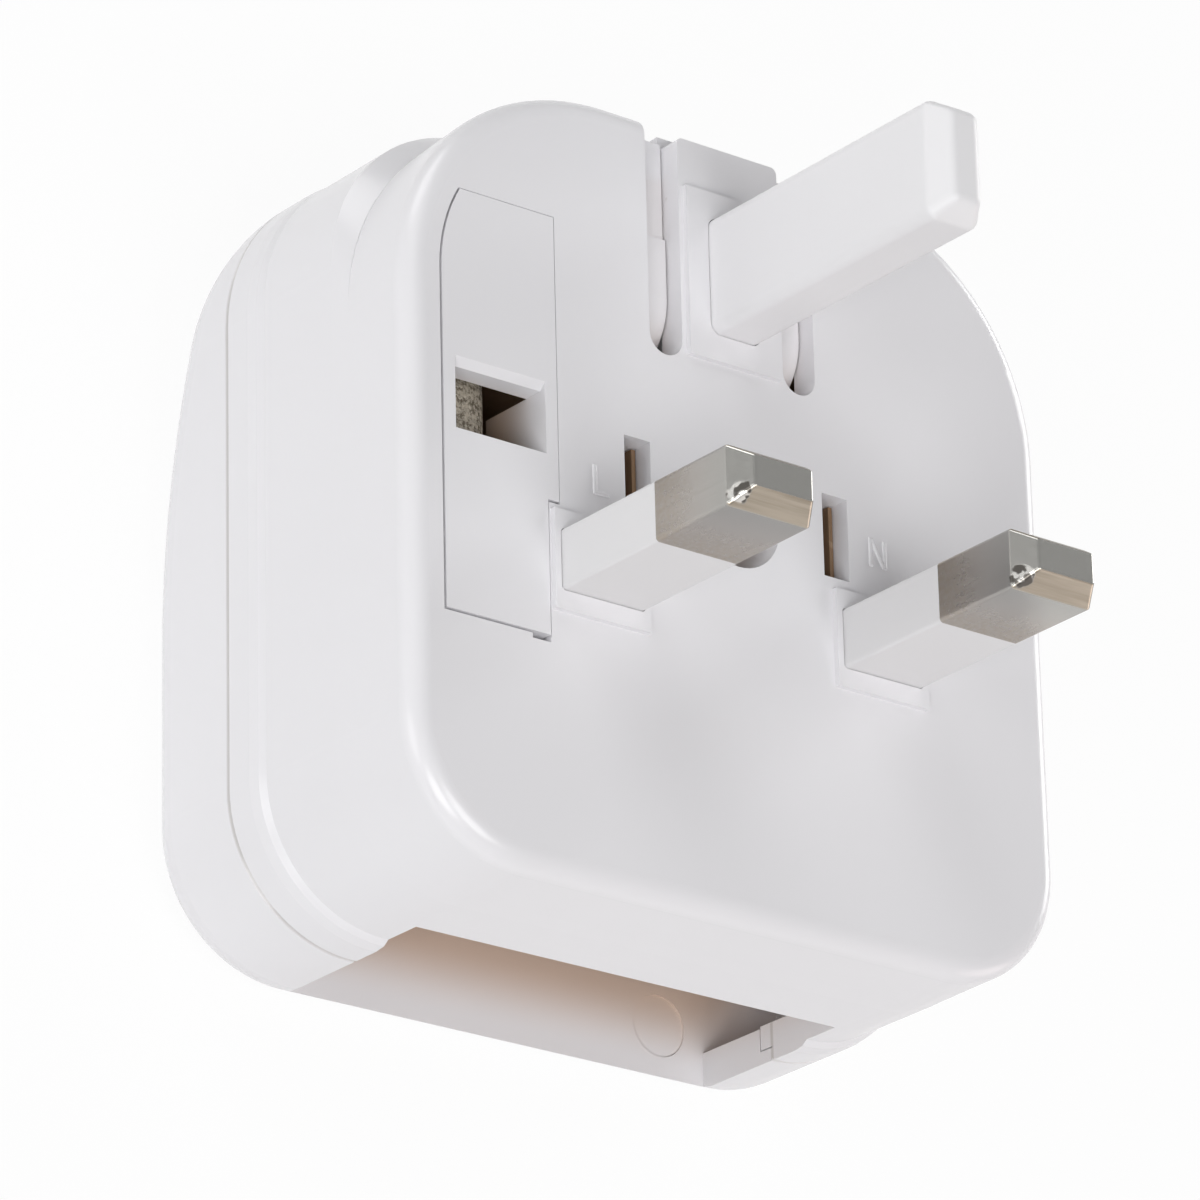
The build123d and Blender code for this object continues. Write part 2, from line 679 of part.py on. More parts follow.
def contact_profile(side, tab_level):
    """Strip that runs from a tab under the pin face down and round one pin of the two-pin plug."""
    tab_z = body_depth - tab_level - sheet / 2
    leg_x = side * (contact_x + contact_radius)
    with BuildSketch(across(contact_mid_y)) as profile:
        with BuildLine():
            FilletPolyline(
                (leg_x - side * contact_tab_reach, tab_z),
                (leg_x, tab_z),
                (leg_x, cover_depth),
                radius=bend_radius,
            )
            CenterArc(
                (side * contact_x, cover_depth),
                contact_radius,
                90 - side * 90,
                -side * contact_wrap_angle,
            )
        trace(line_width=sheet)
    extrude(profile.sketch, amount=contact_length / 2, both=True)
    # Leaf that stands up from the tab in the slot of the face
    leaf_x = side * contact_slot_place[0] + contact_slot[0] / 2 - leaf_clearance - leaf_thickness / 2
    leaf_end_y = pin_row_y + contact_slot_place[1] + contact_slot[1] / 2 - leaf_clearance
    leaf_length = leaf_end_y - contact_start_y
    bar(tab_level + sheet, leaf_depth, leaf_x, leaf_end_y - leaf_length / 2, leaf_thickness, leaf_length)


# Live contact, welded to the tab of the upper fuse clip
with BuildPart() as live_contact:
    contact_profile(-1, tab_depth + sheet)
live_contact.part.label = "live_contact"
export_step(live_contact.part, "parts/live_contact.step")

# Neutral contact, with a foot riveted to the neutral pin
with BuildPart() as neutral_contact:
    contact_profile(1, tab_depth)
    foot_length = contact_from_pin_row + rivet_head_radius + sheet
    foot_y = contact_start_y + sheet - foot_length / 2
    bar(tab_depth, tab_depth + sheet, neutral_x, foot_y, pin_head[0], foot_length + sheet)
    with Locations((neutral_x, pin_row_y, body_depth - tab_depth)):
        Hole(rivet_radius + pin_clearance, depth=2 * sheet)
neutral_contact.part.label = "neutral_contact"
export_step(neutral_contact.part, "parts/neutral_contact.step")

# Case screw: pan head with a cross recess, seated at the bottom of the recess in the face
with BuildPart() as case_screw:
    with BuildSketch(at_depth(screw_recess_depth)):
        with Locations((0, screw_y)):
            Circle(screw_head_radius)
    extrude(amount=screw_head_height)
    chamfer(case_screw.faces().sort_by(Axis.Z)[-1].edges(), screw_head_height / 3)
    with BuildSketch(at_depth(screw_recess_depth)):
        with Locations((0, screw_y)):
            Circle(screw_radius)
    extrude(amount=-screw_length)
    chamfer(case_screw.faces().sort_by(Axis.Z)[0].edges(), screw_radius / 2)
    drive_length = 2 * screw_head_radius - screw_head_height
    with BuildSketch(at_depth(screw_recess_depth - screw_head_height)):
        with Locations((0, screw_y)):
            Rectangle(drive_length, screw_drive_width)
            Rectangle(screw_drive_width, drive_length)
    extrude(amount=-screw_drive_depth, mode=Mode.SUBTRACT)
case_screw.part.label = "case_screw"
export_step(case_screw.part, "parts/case_screw.step")
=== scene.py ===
import bmesh
import bpy
from mathutils import Matrix, Vector


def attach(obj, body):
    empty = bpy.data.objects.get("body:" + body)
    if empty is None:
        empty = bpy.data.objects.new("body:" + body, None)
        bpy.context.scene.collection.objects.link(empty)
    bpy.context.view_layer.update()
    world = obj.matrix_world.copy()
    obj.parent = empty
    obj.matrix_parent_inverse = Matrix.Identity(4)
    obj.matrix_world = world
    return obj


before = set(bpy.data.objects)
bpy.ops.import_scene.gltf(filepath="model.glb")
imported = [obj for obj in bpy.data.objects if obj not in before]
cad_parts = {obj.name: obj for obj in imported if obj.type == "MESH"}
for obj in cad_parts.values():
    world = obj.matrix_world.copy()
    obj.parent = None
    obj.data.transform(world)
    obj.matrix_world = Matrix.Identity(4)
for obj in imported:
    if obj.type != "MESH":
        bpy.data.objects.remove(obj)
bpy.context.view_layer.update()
scene = bpy.context.scene
scene.view_settings.view_transform = "Standard"

# Camera: a long lens close to the photograph's, which looks at the pin face from below and from the
# live side. The plug lies on its back here, so the picture's upright leans away from the floor's.
camera = bpy.data.objects.new("camera", bpy.data.cameras.new("camera"))
scene.collection.objects.link(camera)
picture_right = Vector((0.786775, -0.022254, 0.616839))
picture_up = Vector((-0.218097, 0.924863, 0.311549))
picture_back = Vector((-0.577425, -0.379650, 0.722805))
turn = Matrix((picture_right, picture_up, picture_back)).transposed()
camera_place = (-0.266604, -0.175749, 0.346920)
camera.matrix_world = Matrix.Translation(camera_place) @ turn.to_4x4()
camera.data.sensor_width = 36.0
camera.data.lens = 218.7
camera.data.shift_x = -0.00015
camera.data.shift_y = 0.00358
camera.data.clip_start = 0.01
camera.data.clip_end = 20.0
scene.camera = camera


# Front housing: the pin-side half of the case, moulded in one piece from white urea-like plastic that the
# polished mould leaves glossy. Its hollow carries painted shade, warmer and darker the deeper it goes.
MM = 0.001


def group_with(name, inputs, outputs):
    group = bpy.data.node_groups.new(name, "ShaderNodeTree")
    for label, kind, value in inputs:
        socket = group.interface.new_socket(label, in_out="INPUT", socket_type=kind)
        socket.default_value = value
    for label, kind in outputs:
        group.interface.new_socket(label, in_out="OUTPUT", socket_type=kind)
    return group, group.nodes.new("NodeGroupInput"), group.nodes.new("NodeGroupOutput")


def feed(tree, socket, given):
    if hasattr(given, "is_linked"):
        tree.links.new(given, socket)
    elif isinstance(given, tuple) and socket.type == "RGBA":
        socket.default_value = (*given, 1.0)
    else:
        socket.default_value = given


def value_of(tree, operation, a, b=None, clamp=False):
    node = tree.nodes.new("ShaderNodeMath")
    node.operation = operation
    node.use_clamp = clamp
    feed(tree, node.inputs[0], a)
    if b is not None:
        feed(tree, node.inputs[1], b)
    return node.outputs[0]


def ramp_of(tree, value, start, end):
    node = tree.nodes.new("ShaderNodeMapRange")
    node.interpolation_type = "SMOOTHSTEP"
    feed(tree, node.inputs["Value"], value)
    feed(tree, node.inputs["From Min"], start)
    feed(tree, node.inputs["From Max"], end)
    return node.outputs["Result"]


def noise_of(tree, vector, scale, detail=2.0, roughness=0.5):
    node = tree.nodes.new("ShaderNodeTexNoise")
    tree.links.new(vector, node.inputs["Vector"])
    feed(tree, node.inputs["Scale"], scale)
    node.inputs["Detail"].default_value = detail
    node.inputs["Roughness"].default_value = roughness
    return node.outputs["Fac"]


def colour_mix(tree, factor, a, b):
    node = tree.nodes.new("ShaderNodeMix")
    node.data_type = "RGBA"
    feed(tree, node.inputs[0], factor)
    feed(tree, node.inputs[6], a)
    feed(tree, node.inputs[7], b)
    return node.outputs[2]


def placed(tree, group, values):
    node = tree.nodes.new("ShaderNodeGroup")
    node.node_tree = group
    for label, given in values.items():
        feed(tree, node.inputs[label], given)
    return node.outputs


# The skin of a moulding: flow marks and a few specks under the surface, polish that varies from place to
# place, and the faint ripple of the mould.
moulded_skin, skin_in, skin_out = group_with(
    "moulded skin",
    [
        ("Colour", "NodeSocketColor", (0.8, 0.8, 0.8, 1.0)),
        ("Flow colour", "NodeSocketColor", (0.8, 0.8, 0.8, 1.0)),
        ("Flow scale", "NodeSocketFloat", 60.0),
        ("Polish", "NodeSocketFloat", 0.3),
        ("Polish spread", "NodeSocketFloat", 0.1),
    ],
    [("Colour", "NodeSocketColor"), ("Roughness", "NodeSocketFloat"), ("Height", "NodeSocketFloat")],
)
skin_place = moulded_skin.nodes.new("ShaderNodeTexCoord").outputs["Object"]
flow = noise_of(moulded_skin, skin_place, skin_in.outputs["Flow scale"], 1.0, 0.5)
skin_colour = colour_mix(moulded_skin, flow, skin_in.outputs["Colour"], skin_in.outputs["Flow colour"])
speck_scale = 1100.0
speck = ramp_of(moulded_skin, noise_of(moulded_skin, skin_place, speck_scale, 0.0), 0.9, 0.96)
speck = value_of(moulded_skin, "MULTIPLY", speck, 0.3)
skin_colour = colour_mix(moulded_skin, speck, skin_colour, (0.45, 0.42, 0.38))
moulded_skin.links.new(skin_colour, skin_out.inputs["Colour"])
polish_scale = 90.0
polish_noise = noise_of(moulded_skin, skin_place, polish_scale, 1.0, 0.5)
polish_shift = value_of(moulded_skin, "SUBTRACT", polish_noise, 0.5)
polish_shift = value_of(moulded_skin, "MULTIPLY", polish_shift, skin_in.outputs["Polish spread"])
polish = value_of(moulded_skin, "ADD", skin_in.outputs["Polish"], polish_shift, clamp=True)
moulded_skin.links.new(polish, skin_out.inputs["Roughness"])
ripple_scale = 150.0
ripple = noise_of(moulded_skin, skin_place, ripple_scale, 1.0, 0.4)
moulded_skin.links.new(ripple, skin_out.inputs["Height"])

# Painted shade of the hollow: a warmer, darker colour that grows with the distance inside the case's outline,
# behind the pin face and in front of the curved back, and is weaker in the screw's recess.
painted_hollow_shade, shade_in, shade_out = group_with(
    "hollow shade",
    [
        ("Colour", "NodeSocketColor", (0.8, 0.8, 0.8, 1.0)),
        ("Painted shade colour", "NodeSocketColor", (0.8, 0.7, 0.65, 1.0)),
        ("Depth", "NodeSocketFloat", 5.0 * MM),
    ],
    [("Colour", "NodeSocketColor")],
)
shade_place = painted_hollow_shade.nodes.new("ShaderNodeSeparateXYZ")
shade_coords = painted_hollow_shade.nodes.new("ShaderNodeTexCoord")
painted_hollow_shade.links.new(shade_coords.outputs["Object"], shade_place.inputs[0])
across, along, up = shade_place.outputs
from_middle = value_of(painted_hollow_shade, "ABSOLUTE", across)


def past(value, limit):
    return value_of(painted_hollow_shade, "MAXIMUM", value_of(painted_hollow_shade, "SUBTRACT", value, limit), 0.0)


def distance(side_a, side_b):
    square_a = value_of(painted_hollow_shade, "MULTIPLY", side_a, side_a)
    square_b = value_of(painted_hollow_shade, "MULTIPLY", side_b, side_b)
    return value_of(painted_hollow_shade, "SQRT", value_of(painted_hollow_shade, "ADD", square_a, square_b))


def inside_corner(towards_end, corner_x, corner_y, radius):
    beyond = distance(past(from_middle, corner_x), past(towards_end, corner_y))
    return value_of(painted_hollow_shade, "SUBTRACT", radius, beyond)


towards_outlet = value_of(painted_hollow_shade, "MULTIPLY", along, -1.0)
inside_top = inside_corner(along, corner_x=7.4 * MM, corner_y=8.4 * MM, radius=16.0 * MM)
inside_bottom = inside_corner(towards_outlet, corner_x=14.4 * MM, corner_y=17.2 * MM, radius=9.0 * MM)
inside = value_of(painted_hollow_shade, "MINIMUM", inside_top, inside_bottom)
inside = value_of(painted_hollow_shade, "MULTIPLY", inside, 0.9)
shade_top = 26.9 * MM
behind_face = value_of(painted_hollow_shade, "SUBTRACT", shade_top, up)
back_curve_start = -5.45 * MM
back_slope = 0.2
back_rise = value_of(painted_hollow_shade, "MULTIPLY", past(along, back_curve_start), back_slope)
over_back = value_of(painted_hollow_shade, "SUBTRACT", up, back_rise)
over_back = ramp_of(painted_hollow_shade, over_back, 1.0 * MM, 1.8 * MM)
shade_start = 0.4 * MM
painted_shade_mask = value_of(painted_hollow_shade, "MINIMUM", inside, behind_face)
painted_shade_mask = ramp_of(painted_hollow_shade, painted_shade_mask, shade_start, shade_in.outputs["Depth"])
painted_shade_mask = value_of(painted_hollow_shade, "MULTIPLY", painted_shade_mask, over_back)
screw_y = 0.65 * MM
from_screw = distance(across, value_of(painted_hollow_shade, "SUBTRACT", along, screw_y))
off_screw = ramp_of(painted_hollow_shade, from_screw, 2.4 * MM, 4.3 * MM)
painted_shade_mask = value_of(painted_hollow_shade, "MULTIPLY", painted_shade_mask, off_screw)
# painted shade: the colour goes towards the warm, darker shade colour as the mask grows
with_painted_shade = colour_mix(painted_hollow_shade, painted_shade_mask, shade_in.outputs["Colour"], shade_in.outputs["Painted shade colour"])
painted_hollow_shade.links.new(with_painted_shade, shade_out.inputs["Colour"])


def new_material(name):
    material = bpy.data.materials.new(name)
    material.use_nodes = True
    return material, material.node_tree, material.node_tree.nodes["Principled BSDF"]


def raise_surface(tree, shader, height, depth):
    bump = tree.nodes.new("ShaderNodeBump")
    bump.inputs["Distance"].default_value = depth
    tree.links.new(height, bump.inputs["Height"])
    tree.links.new(bump.outputs["Normal"], shader.inputs["Normal"])


def moulded_plastic(name, skin, painted_shade_colour=None, seam_height=None):
    material, tree, shader = new_material(name)
    skin = placed(tree, moulded_skin, skin)
    colour = skin["Colour"]
    # painted shade that darkens and warms the hollow
    if painted_shade_colour:
        shade = {"Colour": colour, "Painted shade colour": painted_shade_colour, "Depth": 5.0 * MM}
        colour = placed(tree, painted_hollow_shade, shade)["Colour"]
    if seam_height:
        # a dark band along the parting line: partly dirt in the seam, partly painted shade of its groove
        place = tree.nodes.new("ShaderNodeSeparateXYZ")
        tree.links.new(tree.nodes.new("ShaderNodeTexCoord").outputs["Object"], place.inputs[0])
        from_seam = value_of(tree, "SUBTRACT", place.outputs["Z"], seam_height)
        seam_band_edge = 0.2 * MM
        seam_band_core = 0.06 * MM
        seam_dirt_and_shade = ramp_of(tree, value_of(tree, "ABSOLUTE", from_seam), seam_band_edge, seam_band_core)
        colour = colour_mix(tree, value_of(tree, "MULTIPLY", seam_dirt_and_shade, 0.5), colour, (0.45, 0.42, 0.39))
    tree.links.new(colour, shader.inputs["Base Color"])
    tree.links.new(skin["Roughness"], shader.inputs["Roughness"])
    ripple_height = 0.016 * MM
    raise_surface(tree, shader, skin["Height"], ripple_height)
    shader.inputs["IOR"].default_value = 1.5
    return material


def dress(node, material):
    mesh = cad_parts[node].data
    mesh.materials.clear()
    mesh.materials.append(material)


parting_height = 9.0 * MM
case_white = moulded_plastic(
    "case white",
    {
        "Colour": (0.85, 0.843, 0.865),
        "Flow colour": (0.825, 0.818, 0.84),
        "Flow scale": 60.0,
        "Polish": 0.24,
        "Polish spread": 0.08,
    },
    # painted shade colour of the hollow
    painted_shade_colour=(0.69, 0.54, 0.445),
    seam_height=parting_height,
)
dress("front_housing", case_white)

# Terminal letters: a raised L and N that the mould leaves on the face above the two blades, in the same
# plastic, with upright sides and a softened top edge.
letter_root = -0.06 * MM
letter_rise = 0.17 * MM
letter_edge = 0.09 * MM


def raised_letter(name, outline, centre):
    sketch = bmesh.new()
    corners = [sketch.verts.new((x * MM, y * MM, letter_root)) for x, y in outline]
    base = sketch.faces.new(corners)
    lifted = bmesh.ops.extrude_face_region(sketch, geom=[base])["geom"]
    top_corners = [item for item in lifted if isinstance(item, bmesh.types.BMVert)]
    bmesh.ops.translate(sketch, verts=top_corners, vec=(0.0, 0.0, letter_rise))
    top_edges = [edge for edge in sketch.edges if all(v in top_corners for v in edge.verts)]
    bmesh.ops.bevel(sketch, geom=top_edges, offset=letter_edge, segments=2, profile=0.5, affect="EDGES")
    bmesh.ops.recalc_face_normals(sketch, faces=sketch.faces)
    mesh = bpy.data.meshes.new(name)
    sketch.to_mesh(mesh)
    sketch.free()
    letter = bpy.data.objects.new(name, mesh)
    letter.location = centre
    scene.collection.objects.link(letter)
    mesh.materials.append(case_white)
    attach(letter, "case")


face_height = 27.1 * MM
live_outline = [(-0.62, -1.0), (0.62, -1.0), (0.62, -0.68), (-0.28, -0.68), (-0.28, 1.0), (-0.62, 1.0)]
raised_letter("live_letter", live_outline, (-10.85 * MM, 0.45 * MM, face_height))
neutral_outline = [
    (-0.72, -0.97), (-0.42, -0.97), (-0.42, 0.42), (0.38, -0.97), (0.72, -0.97),
    (0.72, 0.97), (0.42, 0.97), (0.42, -0.42), (-0.38, 0.97), (-0.72, 0.97),
]
raised_letter("neutral_letter", neutral_outline, (11.3 * MM, 0.94 * MM, face_height))

# Earth pin: a dummy of white plastic, moulded on its own with rounded edges and put in from inside, with
# its head behind the tongue. Its skin is satin, because this mould isn't polished.
earth_white = moulded_plastic(
    "earth pin white",
    {
        "Colour": (0.865, 0.86, 0.875),
        "Flow colour": (0.84, 0.835, 0.85),
        "Flow scale": 90.0,
        "Polish": 0.4,
        "Polish spread": 0.12,
    },
)
dress("earth_pin", earth_white)

# Pin sleeves: thin white insulation moulded round the roots of the blades, so that no live metal shows
# when the plug is half out of its socket.
sleeve_white = moulded_plastic(
    "sleeve white",
    {
        "Colour": (0.80, 0.795, 0.805),
        "Flow colour": (0.775, 0.77, 0.775),
        "Flow scale": 110.0,
        "Polish": 0.42,
        "Polish spread": 0.12,
    },
)
for sleeve in ("live_pin_sleeve", "neutral_pin_sleeve"):
    dress(sleeve, sleeve_white)


# Blades: live and neutral pins of solid brass with a nickel plate. The sides keep the lines of the drawn
# bar, the long bevels of the tip are ground and show the brass, and the root by the sleeve is tarnished.
# Towards the tip the plate has a painted grey reflection, and the bevels on the far sides painted shade.
def stretched(tree, vector, factors):
    node = tree.nodes.new("ShaderNodeVectorMath")
    node.operation = "MULTIPLY"
    tree.links.new(vector, node.inputs[0])
    feed(tree, node.inputs[1], factors)
    return node.outputs[0]


drawn_lines, lines_in, lines_out = group_with(
    "drawn lines",
    [("Stretch", "NodeSocketVector", (1500.0, 1500.0, 100.0))],
    [("Streak", "NodeSocketFloat")],
)
lines_place = drawn_lines.nodes.new("ShaderNodeTexCoord").outputs["Object"]
lines_place = stretched(drawn_lines, lines_place, lines_in.outputs["Stretch"])
drawn_lines.links.new(noise_of(drawn_lines, lines_place, 1.0, 3.0, 0.65), lines_out.inputs["Streak"])

nickel, plate, plate_shader = new_material("nickel plate")
plate_shader.inputs["Metallic"].default_value = 1.0
plate_coords = plate.nodes.new("ShaderNodeTexCoord")
plate_place = plate.nodes.new("ShaderNodeSeparateXYZ")
plate.links.new(plate_coords.outputs["Object"], plate_place.inputs[0])
plate_facing = plate.nodes.new("ShaderNodeSeparateXYZ")
plate.links.new(plate_coords.outputs["Normal"], plate_facing.inputs[0])
along_blade = plate_place.outputs["Z"]
bar_lines = placed(plate, drawn_lines, {"Stretch": (2600.0, 2600.0, 110.0)})["Streak"]
ground_lines = placed(plate, drawn_lines, {"Stretch": (120.0, 2600.0, 2600.0)})["Streak"]
bar_streak = ramp_of(plate, bar_lines, 0.3, 0.7)
plate_colour = colour_mix(plate, bar_streak, (0.485, 0.455, 0.425), (0.515, 0.485, 0.455))
# painted reflection: the plate greyer and darker towards the tip
tip_painted_reflection = ramp_of(plate, along_blade, 38.5 * MM, 44.2 * MM)
plate_colour = colour_mix(plate, value_of(plate, "MULTIPLY", tip_painted_reflection, 0.8), plate_colour, (0.40, 0.40, 0.38))
by_sleeve = ramp_of(plate, along_blade, 41.5 * MM, 36.2 * MM)
speckle_scale = 3000.0
speckle = noise_of(plate, plate_coords.outputs["Object"], speckle_scale, 2.0, 0.6)
root_stain = value_of(plate, "MULTIPLY", by_sleeve, ramp_of(plate, speckle, 0.05, 0.95))
root_stain = value_of(plate, "MULTIPLY", root_stain, 0.8)
plate_colour = colour_mix(plate, root_stain, plate_colour, (0.44, 0.37, 0.285))
bevel_start = 43.2 * MM
bevel_blur = 0.1 * MM
on_bevel = ramp_of(plate, along_blade, bevel_start - bevel_blur, bevel_start + bevel_blur)
facing_y = value_of(plate, "ABSOLUTE", plate_facing.outputs["Y"])
ground = value_of(plate, "MULTIPLY", ramp_of(plate, facing_y, 0.35, 0.5), on_bevel)
ground_streak = ramp_of(plate, ground_lines, 0.3, 0.7)
ground_colour = colour_mix(plate, ground_streak, (0.41, 0.355, 0.285), (0.51, 0.45, 0.37))
plate_colour = colour_mix(plate, ground, plate_colour, ground_colour)
# painted shade: the tip's bevels facing away, towards +X and +Y, drawn dark
facing_far = value_of(plate, "MAXIMUM", plate_facing.outputs["X"], plate_facing.outputs["Y"])
far_bevel_painted_shade = value_of(plate, "MULTIPLY", ramp_of(plate, facing_far, 0.35, 0.5), on_bevel)
far_bevel_painted_shade = value_of(plate, "MULTIPLY", far_bevel_painted_shade, 0.8)
plate_colour = colour_mix(plate, far_bevel_painted_shade, plate_colour, (0.17, 0.155, 0.13))


# Each tip's live-side corner, worn by the socket's shutter: a painted glint round a painted dark pitted core.
def from_spot(value, middle, reach):
    share = value_of(plate, "DIVIDE", value_of(plate, "SUBTRACT", value, middle), reach)
    return value_of(plate, "MULTIPLY", share, share)


blade_x = 11.115 * MM
side_of = value_of(plate, "MULTIPLY", value_of(plate, "SIGN", plate_place.outputs["X"]), blade_x)
off_axis = value_of(plate, "SUBTRACT", plate_place.outputs["X"], side_of)
spot_x = from_spot(off_axis, middle=-2.7 * MM, reach=0.7 * MM)
spot_y = from_spot(plate_place.outputs["Y"], middle=-6.9 * MM, reach=0.8 * MM)
spot_z = from_spot(along_blade, middle=43.8 * MM, reach=1.1 * MM)
spot = value_of(plate, "SQRT", value_of(plate, "ADD", spot_x, value_of(plate, "ADD", spot_y, spot_z)))
pitting_scale = 1000.0
pitting = noise_of(plate, plate_coords.outputs["Object"], pitting_scale, 2.0, 0.6)
spot = value_of(plate, "ADD", spot, value_of(plate, "SUBTRACT", pitting, 0.5))
painted_glint = ramp_of(plate, spot, 1.0, 0.8)
pits_and_painted_core = value_of(plate, "MULTIPLY", painted_glint, ramp_of(plate, pitting, 0.58, 0.51))
# painted glint and its painted dark core; the pits also dent the surface below
plate_colour = colour_mix(plate, value_of(plate, "MULTIPLY", painted_glint, 0.85), plate_colour, (0.88, 0.86, 0.82))
plate_colour = colour_mix(plate, value_of(plate, "MULTIPLY", pits_and_painted_core, 0.9), plate_colour, (0.07, 0.06, 0.05))
plate.links.new(plate_colour, plate_shader.inputs["Base Color"])
plate_lines = plate.nodes.new("ShaderNodeMix")
feed(plate, plate_lines.inputs[0], ground)
feed(plate, plate_lines.inputs[2], bar_lines)
feed(plate, plate_lines.inputs[3], ground_lines)
plate_rough = value_of(plate, "MULTIPLY", plate_lines.outputs[0], 0.1)
plate_rough = value_of(plate, "ADD", plate_rough, value_of(plate, "MULTIPLY", root_stain, 0.15))
plate_rough = value_of(plate, "ADD", plate_rough, value_of(plate, "MULTIPLY", ground, 0.08))
plate_rough = value_of(plate, "ADD", plate_rough, 0.2, clamp=True)
plate.links.new(plate_rough, plate_shader.inputs["Roughness"])
plate_relief = value_of(plate, "SUBTRACT", plate_lines.outputs[0], value_of(plate, "MULTIPLY", pits_and_painted_core, 3.0))
line_depth = 0.001 * MM
raise_surface(plate, plate_shader, plate_relief, line_depth)
for blade in ("live_pin", "neutral_pin"):
    dress(blade, nickel)

# Clips and contacts: strips of bare copper alloy, stamped and folded, bright where a plug's pin or the
# fuse rubs them and tarnished brown elsewhere. The lower clip and the neutral contact are riveted to the
# blades, and the live contact is welded to the upper clip.
tarnish, tarnish_in, tarnish_out = group_with(
    "tarnish",
    [
        ("Colour", "NodeSocketColor", (0.5, 0.5, 0.5, 1.0)),
        ("Tarnish colour", "NodeSocketColor", (0.3, 0.25, 0.2, 1.0)),
        ("Scale", "NodeSocketFloat", 400.0),
        ("Amount", "NodeSocketFloat", 0.5),
        ("Roughness", "NodeSocketFloat", 0.25),
    ],
    [("Colour", "NodeSocketColor"), ("Roughness", "NodeSocketFloat"), ("Mask", "NodeSocketFloat")],
)
tarnish_place = tarnish.nodes.new("ShaderNodeTexCoord").outputs["Object"]
cloud = noise_of(tarnish, tarnish_place, tarnish_in.outputs["Scale"], 3.0, 0.65)
spread = value_of(tarnish, "SUBTRACT", 0.85, value_of(tarnish, "MULTIPLY", tarnish_in.outputs["Amount"], 0.7))
stain = ramp_of(tarnish, cloud, value_of(tarnish, "SUBTRACT", spread, 0.2), spread)
stain_colour = colour_mix(tarnish, stain, tarnish_in.outputs["Colour"], tarnish_in.outputs["Tarnish colour"])
tarnish.links.new(stain_colour, tarnish_out.inputs["Colour"])
stain_rough = value_of(tarnish, "MULTIPLY", stain, 0.18)
stain_rough = value_of(tarnish, "ADD", tarnish_in.outputs["Roughness"], stain_rough, clamp=True)
tarnish.links.new(stain_rough, tarnish_out.inputs["Roughness"])
tarnish.links.new(stain, tarnish_out.inputs["Mask"])


def rolled_metal(name, colour, stain_colour, stain_scale, amount, patina, roughness, lines):
    material, tree, shader = new_material(name)
    streak = placed(tree, drawn_lines, {"Stretch": lines})["Streak"]
    dull = tuple(0.86 * part for part in colour)
    sheet_colour = colour_mix(tree, ramp_of(tree, streak, 0.3, 0.7), dull, colour)
    stained = placed(
        tree,
        tarnish,
        {
            "Colour": sheet_colour,
            "Tarnish colour": stain_colour,
            "Scale": stain_scale,
            "Amount": amount,
            "Roughness": roughness,
        },
    )
    tree.links.new(stained["Colour"], shader.inputs["Base Color"])
    bare = value_of(tree, "SUBTRACT", 1.0, value_of(tree, "MULTIPLY", stained["Mask"], patina))
    tree.links.new(bare, shader.inputs["Metallic"])
    rough = value_of(tree, "ADD", stained["Roughness"], value_of(tree, "MULTIPLY", streak, 0.12), clamp=True)
    tree.links.new(rough, shader.inputs["Roughness"])
    relief = value_of(tree, "SUBTRACT", streak, value_of(tree, "MULTIPLY", stained["Mask"], 0.5))
    rolling_depth = 0.004 * MM
    raise_surface(tree, shader, relief, rolling_depth)
    return material


contact_copper = rolled_metal(
    "contact copper",
    colour=(0.66, 0.49, 0.34),
    stain_colour=(0.30, 0.19, 0.11),
    stain_scale=520.0,
    amount=0.6,
    patina=0.7,
    roughness=0.34,
    lines=(1400.0, 160.0, 1400.0),
)
for strip in ("lower_fuse_clip", "upper_fuse_clip", "live_contact", "neutral_contact"):
    dress(strip, contact_copper)

# Inner plate: a plain moulding that closes the wiring space and stops the two-pin plug, seen only far inside
# the cable outlet. Its mould is left unpolished, so it is matt, and its white is painted tan as the hollow's
# shade.
inner_painted_tan = moulded_plastic(
    "inner painted tan",
    {
        # painted shade: tan in place of the plate's white
        "Colour": (0.80, 0.66, 0.57),
        "Flow colour": (0.77, 0.63, 0.54),
        "Flow scale": 80.0,
        "Polish": 0.52,
        "Polish spread": 0.16,
    },
)
dress("contact_cover", inner_painted_tan)

# Rear cover: the back half of the case, from the same plastic as the front. It hooks in at the top by its
# two arms, closes on the parting line and is held by the one screw.
dress("rear_cover", case_white)

# Case screw: zinc-plated steel with a cross recess, sunk in the middle of the face. It draws the boss of
# the cover up to the boss of the housing, and has been turned once or twice.
zinc_plate = rolled_metal(
    "zinc plate",
    colour=(0.66, 0.655, 0.64),
    stain_colour=(0.42, 0.39, 0.34),
    stain_scale=800.0,
    amount=0.45,
    patina=0.5,
    roughness=0.28,
    lines=(900.0, 900.0, 900.0),
)
dress("case_screw", zinc_plate)

# Fuse: a tube of unglazed ceramic, mottled, in a khaki darkened by painted shade, with a nickel-plated cap
# pressed on each end. The carrier's saddles hold its middle, and the two clips grip its caps.
ceramic, clay, clay_shader = new_material("fuse ceramic")
clay_place = clay.nodes.new("ShaderNodeTexCoord").outputs["Object"]
mottle_scale = 2600.0
mottle = ramp_of(clay, noise_of(clay, clay_place, mottle_scale, 3.0, 0.7), 0.36, 0.58)
